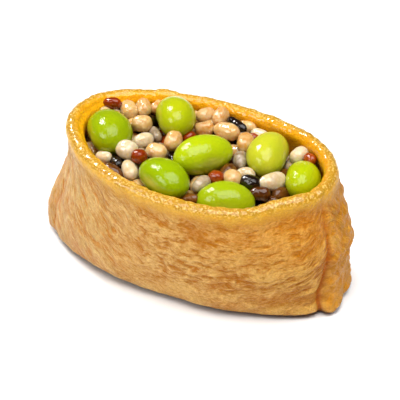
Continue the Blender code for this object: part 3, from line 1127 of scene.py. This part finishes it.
# Pale specks on the lip's granules: partly paler crumb, partly painted glints.
granules = stretch(tree, noise_pattern(tree, own_place(tree), 2200.0, 1.0), 0.5, 0.66)
granular_with_painted_glints = mix_colours(tree, granules, linear(178, 136, 32), linear(232, 194, 104))
upper_wall = calculate(tree, "MULTIPLY", high, calculate(tree, "MULTIPLY_ADD", column, -0.4, 0.4))
lower_column = calculate(tree, "MULTIPLY", column, calculate(tree, "MULTIPLY_ADD", high, -0.30, 0.50))
layers = (
    (paleness, crest),
    (upper_wall, linear(228, 140, 10)),
    (lower_column, linear(226, 144, 0)),
    (attribute(tree, "crease"), linear(200, 104, 1)),
    (attribute(tree, "band"), mix_colours(tree, sparkly, smooth_skin, granular_with_painted_glints)),
    (attribute(tree, "inside"), inner_skin_with_painted_glow),
)
colour = valley
for mask, layer in layers:
    colour = mix_colours(tree, mask, colour, layer)
for other, scale, amount in ((linear(204, 134, 24), 650.0, 0.2), (linear(176, 108, 14), 2300.0, 0.3)):
    colour = place_group(tree, mottle, Colour=colour, Other=other, Scale=scale, Amount=amount)["Colour"]
# Painted shade: the foot is painted dark brown where the pouch curves under towards the table.
colour = mix_colours(tree, attribute(tree, "painted_foot_shade"), colour, linear(112, 56, 5))
feed(tree, shader["Base Color"], colour)
print("the skin has %d layers of colour" % (len(layers) + 1))

# %% [markdown]
# The wall has only a faint gloss. The lip carries a full wet coat, and the granules modelled there
# break its highlights up.

# %% Gloss of the tofu
wet = place_group(tree, film, Scale=2300.0, Depth=0.4, Smoothest=0.28, Roughest=0.5)
bump = add_node(tree, "ShaderNodeBump", {
    "Height": fine, "Normal": wet["Normal"], "Strength": 0.8, "Distance": 0.0004,
})
feed(tree, shader["Normal"], bump.outputs["Normal"])
feed(tree, shader["Roughness"], wet["Roughness"])
feed(tree, shader["Coat Weight"], stretch(tree, sparkly, 0.0, 1.0, 0.10, 0.9))
dress(pouch, tofu)
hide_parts("tofu_pouch")
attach(pouch, "root")
print("the tofu finish has %d nodes" % len(tree.nodes))

# %% [markdown]
# ## Green soybeans
# The skin of a bean is taut and glossy over flesh that lets light through. Its green is yellower on
# some beans than on others and paler round the scar. Beans, grains and bed are all mottled and wet
# in the same way, so one helper finishes them.


# %% Make the bean finish
def mottled_and_wet(tree, shader, colour, spots, wetness):
    """Mottles a colour and lays the film over it, each with its own values."""
    spotted = place_group(tree, mottle, Colour=colour, **spots)
    wet = place_group(tree, film, **wetness)
    feed(tree, shader["Base Color"], spotted["Colour"])
    feed(tree, shader["Normal"], wet["Normal"])
    feed(tree, shader["Roughness"], wet["Roughness"])


GREENS = (
    (160, 180, 4), (192, 198, 14), (190, 206, 12), (156, 180, 0), (208, 208, 44), (170, 188, 12),
    (188, 200, 8),
)
bean_finish, tree, shader = new_material(
    "green_soybean_skin", Subsurface_Weight=0.35, Subsurface_Scale=0.0016,
    Subsurface_Radius=(0.8, 1.0, 0.1), IOR=1.48, Specular_IOR_Level=0.5,
)
ramp = add_node(tree, "ShaderNodeValToRGB", {"Fac": attribute(tree, "tint")})
ramp.color_ramp.interpolation = "CONSTANT"
steps = ramp.color_ramp.elements
while len(steps) < len(GREENS):
    steps.new(0.5)
for index, green in enumerate(GREENS):
    steps[index].position = (index + 0.5) / len(GREENS)
    steps[index].color = (*lit(*green), 1.0)
mottled_and_wet(
    tree, shader, mix_colours(tree, attribute(tree, "scar"), ramp.outputs["Color"], lit(210, 214, 80)),
    {"Other": lit(166, 198, 4), "Scale": 260.0, "Amount": 0.2},
    {"Scale": 1700.0, "Depth": 0.13, "Smoothest": 0.08, "Roughest": 0.14},
)
for number, bean in enumerate(beans, 1):
    dress(bean, bean_finish)
    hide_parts("green_soybean_%d" % number)
    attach(bean, "root")
print("%d greens for %d beans" % (len(GREENS), len(beans)))

# %% [markdown]
# ## Grains
# Every kind of grain has the same build and its own three colours: the darkest and lightest grain,
# and the colour of its mottling. Pale and clear grains let more light through than dark ones. They
# are so small that a highlight on them is tiny, so the film bends light more than water would,
# which makes the highlight bright enough to look wet.

# %% Make the finishes of the grains
# kind: darkest grain, lightest grain, mottling, share of light that enters, refraction of the film
GRAIN_COLOURS = {
    "tan": ((222, 156, 72), (238, 192, 120), (252, 226, 176), 0.8, 1.9),
    "pale": ((216, 184, 132), (238, 214, 170), (252, 240, 214), 0.85, 1.9),
    "clear": ((150, 126, 96), (196, 174, 140), (226, 208, 180), 0.8, 1.9),
    "brown": ((88, 42, 6), (140, 84, 26), (52, 22, 4), 0.20, 1.6),
    "red": ((158, 52, 0), (190, 84, 14), (110, 32, 0), 0.20, 1.6),
    "black": ((10, 4, 1), (26, 12, 4), (48, 26, 14), 0.05, 1.6),
}
for kind, (dark, light, other, depth, refraction) in GRAIN_COLOURS.items():
    finish, tree, shader = new_material(
        kind + "_grain_skin", Subsurface_Weight=depth, Subsurface_Scale=0.0014,
        Subsurface_Radius=(1.0, 0.7, 0.4), IOR=refraction, Specular_IOR_Level=0.5,
    )
    mottled_and_wet(
        tree, shader, mix_colours(tree, attribute(tree, "tint"), lit(*dark), lit(*light)),
        {"Other": lit(*other), "Scale": 800.0, "Amount": 0.5},
        {"Scale": 1300.0, "Depth": 0.22, "Smoothest": 0.06, "Roughest": 0.12},
    )
    dress(pieces[kind], finish)
    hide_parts("rice_filling")
    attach(pieces[kind], "root")
print("%d kinds of grain are finished" % len(GRAIN_COLOURS))

# %% Make the finish of the bed
# The bed's dark brown is partly the sauce of the seasoned rice and partly painted shade for the deep
# gaps between the grains.
finish, tree, shader = new_material(
    "rice_bed_sauce_and_painted_shade", Subsurface_Weight=0.1, Subsurface_Scale=0.0008, Coat_Weight=0.5,
    Coat_Roughness=0.2,
)
mottled_and_wet(
    tree, shader, lit(84, 48, 22),
    {"Other": lit(142, 92, 46), "Scale": 420.0, "Amount": 0.6},
    {"Scale": 1300.0, "Depth": 0.5, "Smoothest": 0.3, "Roughest": 0.6},
)
dress(bed, finish)
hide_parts("rice_filling")
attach(bed, "root")

# %% [markdown]
# ## Table, camera and light
# The food stands on a plain white table, seen from above at a little to the right of its front.

# %% Table
start_clean()
bpy.ops.mesh.primitive_plane_add(size=6.0)
table = bpy.context.object
table.name = "white_table"
finish, tree, shader = new_material("white_table_top", Roughness=0.45, Specular_IOR_Level=0.3)
white = place_group(
    tree, mottle, Colour=(0.93, 0.93, 0.93), Other=(0.92, 0.92, 0.92), Scale=60.0, Amount=1.0
)
feed(tree, shader["Base Color"], white["Colour"])
table.data.materials.append(finish)

# %% Camera
CAMERA_AZIMUTH = math.radians(24.0)
CAMERA_ELEVATION = math.radians(36.0)
CAMERA_DISTANCE = 0.26
CAMERA_LENS = 102.96
CAMERA_SENSOR = 36.0
LOOK_AT = Vector((-0.0005, 0.005, 0.012))


def direction(azimuth, elevation):
    """From the food towards a light or the camera; azimuth 0 is in front, on -Y."""
    return Vector((
        math.sin(azimuth) * math.cos(elevation),
        -math.cos(azimuth) * math.cos(elevation),
        math.sin(elevation),
    ))


def point_at(thing, place, target):
    """Puts a camera or a light in its place and turns it towards the target."""
    thing.location = place
    thing.rotation_euler = (place - target).to_track_quat("Z", "Y").to_euler()


camera_data = bpy.data.cameras.new("camera")
camera = bpy.data.objects.new("camera", camera_data)
bpy.context.scene.collection.objects.link(camera)
point_at(camera, LOOK_AT + CAMERA_DISTANCE * direction(CAMERA_AZIMUTH, CAMERA_ELEVATION), LOOK_AT)
camera_data.sensor_width = CAMERA_SENSOR
camera_data.lens = CAMERA_LENS
camera_data.clip_start = 0.01
camera_data.clip_end = 20.0
bpy.context.scene.camera = camera
print("the camera is %.0f mm from the food" % (CAMERA_DISTANCE / MM))

# %% [markdown]
# The light is soft and comes mostly from overhead, so the overhanging foot of the pouch keeps a dark
# line on the table. A small key light at the left draws the highlights, and two fills open up the
# left wall and the right end. Two of the lamps light the food but aren't mirrored in it, because a
# large mirrored lamp would lay a grey veil over the colours. The room itself is almost dark.

# %% Light
ROOM_LIGHT = 0.05
# name, azimuth, elevation, distance, width, depth, watts, and whether wet food mirrors it
LIGHTS = (
    ("overhead_softbox", 40, 80, 0.60, 0.62, 0.52, 3.2, True),
    ("overhead_lamp", 20, 76, 0.62, 0.30, 0.24, 2.2, False),
    ("key_softbox", -112, 43, 0.60, 0.16, 0.12, 1.5, True),
    ("front_left_fill", -40, 34, 0.80, 0.40, 0.30, 1.7, True),
    ("right_fill", 112, 52, 0.80, 0.40, 0.30, 1.2, False),
)
for name, azimuth, elevation, away, wide, deep, watts, is_mirrored in LIGHTS:
    data = bpy.data.lights.new(name, "AREA")
    data.shape = "RECTANGLE"
    data.size = wide
    data.size_y = deep
    data.energy = watts
    lamp = bpy.data.objects.new(name, data)
    bpy.context.scene.collection.objects.link(lamp)
    lamp.visible_glossy = is_mirrored
    place = LOOK_AT + away * direction(math.radians(azimuth), math.radians(elevation))
    point_at(lamp, place, LOOK_AT)

world = bpy.data.worlds.new("white_room")
world.use_nodes = True
world.node_tree.nodes["Background"].inputs["Color"].default_value = (1.0, 1.0, 1.0, 1.0)
world.node_tree.nodes["Background"].inputs["Strength"].default_value = ROOM_LIGHT
bpy.context.scene.world = world
bpy.context.scene.view_settings.view_transform = "Standard"
print("%d lights of %.1f watts in all" % (len(LIGHTS), sum(light[6] for light in LIGHTS)))
